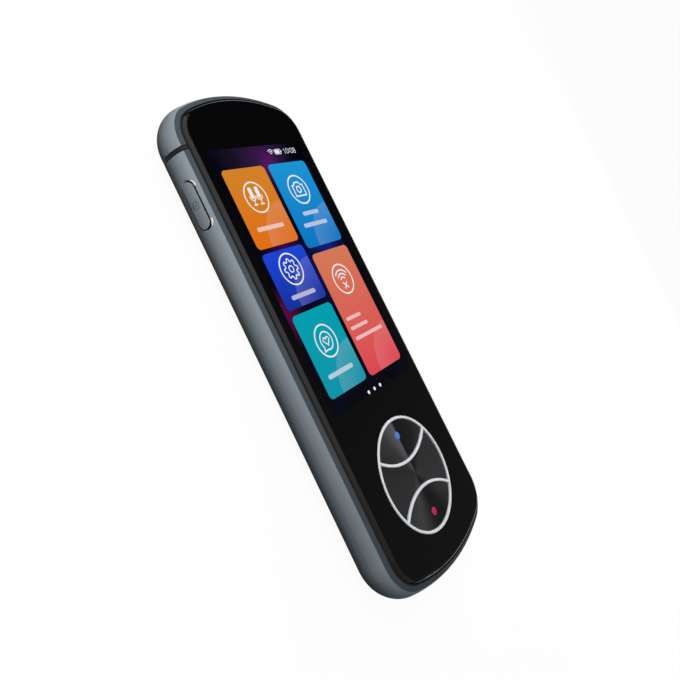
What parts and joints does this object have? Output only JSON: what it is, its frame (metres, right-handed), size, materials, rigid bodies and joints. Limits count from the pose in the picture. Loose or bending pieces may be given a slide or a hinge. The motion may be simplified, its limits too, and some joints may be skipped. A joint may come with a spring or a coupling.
{
  "type": "handheld translator",
  "caption": "Bar-shaped handheld translator with a glass front, touch display, round key pad, side power button and charging port.",
  "frame": {"origin": "middle of the flat back, on its outer face", "axes": "+Z out of the display, +Y towards the top end, +X to the right of the display"},
  "size_m": [0.0498, 0.1272, 0.0116],
  "materials": {
    "frame_metal": "anodised, fine bead-blasted satin, slate blue-grey",
    "strip_black": "satin insert-moulded antenna strip",
    "cover_metal": "fine satin, slate blue-grey like the frame",
    "front_glass": "polished glass, black-printed behind",
    "gasket_black": "matt black adhesive gasket",
    "display_panel": "display panel",
    "sheet_steel": "stamped sheet, satin",
    "flex_orange": "polyimide ribbon",
    "board_green": "solder mask",
    "shield_tin": "tin-plated shield",
    "chip_black": "moulded chip",
    "socket_ivory": "connector plastic",
    "battery_foil": "laminated pouch",
    "lead_red": "lead",
    "speaker_black": "moulded speaker box",
    "mesh_grey": "woven dust mesh",
    "camera_black": "camera block",
    "ring_metal": "turned, bright bevel",
    "window_glass": "camera window, black-printed behind",
    "led_yellow": "phosphor",
    "lens_clear": "frosted flash lens",
    "port_steel": "drawn shell",
    "tongue_black": "port tongue",
    "gold_can": "gold-plated can",
    "button_metal": "anodised satin button",
    "trim_bright": "polished bright trim",
    "key_dark": "dark spun metal, circular grain",
    "light_blue": "lit light pipe",
    "light_red": "lit light pipe"
  },
  "bodies": {
    "housing": {"side_frame": "frame_metal", "antenna_strips": "strip_black", "rear_cover": "cover_metal", "cover_glass": "front_glass", "glass_gasket": "gasket_black", "display_panel": "display_panel", "backlight_tray": "sheet_steel", "display_flex": "flex_orange", "chassis_plate": "sheet_steel", "main_board": "board_green", "processor_shield": "shield_tin", "radio_shield": "shield_tin", "board_chips": "chip_black", "display_connector": "socket_ivory", "battery_connector": "socket_ivory", "board_screws": "sheet_steel", "antenna_carrier": "speaker_black", "battery_cell": "battery_foil", "battery_lead": "lead_red", "speaker_box": "speaker_black", "speaker_mesh": "mesh_grey", "camera_module": "camera_black", "camera_ring": "ring_metal", "camera_window": "window_glass", "flash_led": "led_yellow", "flash_lens": "lens_clear", "charge_board": "board_green", "usb_c_shell": "port_steel", "usb_c_tongue": "tongue_black", "microphones": "gold_can", "link_flex": "flex_orange", "power_switch": "shield_tin", "key_trim": "trim_bright", "key_board": "board_green", "key_domes": "gold_can", "key_leds": "socket_ivory"},
    "power_button": {"power_button": "button_metal"},
    "upper_key": {"key_upper": "key_dark", "light_upper": "light_blue"},
    "lower_key": {"key_lower": "key_dark", "light_lower": "light_red"},
    "middle_key": {"key_middle": "key_dark"}
  },
  "joints": [
    {"name": "power_button_press", "type": "slide", "parent": "housing", "child": "power_button", "axis": [1, 0, 0], "range_m": [0, 0.0003], "stiffness_N_per_m": 1500, "springref_m": -0.0002},
    {"name": "upper_key_press", "type": "slide", "parent": "housing", "child": "upper_key", "axis": [0, 0, -1], "range_m": [0, 0.0003], "stiffness_N_per_m": 1500, "springref_m": -0.0002},
    {"name": "lower_key_press", "type": "slide", "parent": "housing", "child": "lower_key", "axis": [0, 0, -1], "range_m": [0, 0.0003], "stiffness_N_per_m": 1500, "springref_m": -0.0002},
    {"name": "middle_key_press", "type": "slide", "parent": "housing", "child": "middle_key", "axis": [0, 0, -1], "range_m": [0, 0.0003], "stiffness_N_per_m": 1500, "springref_m": -0.0002}
  ]
}
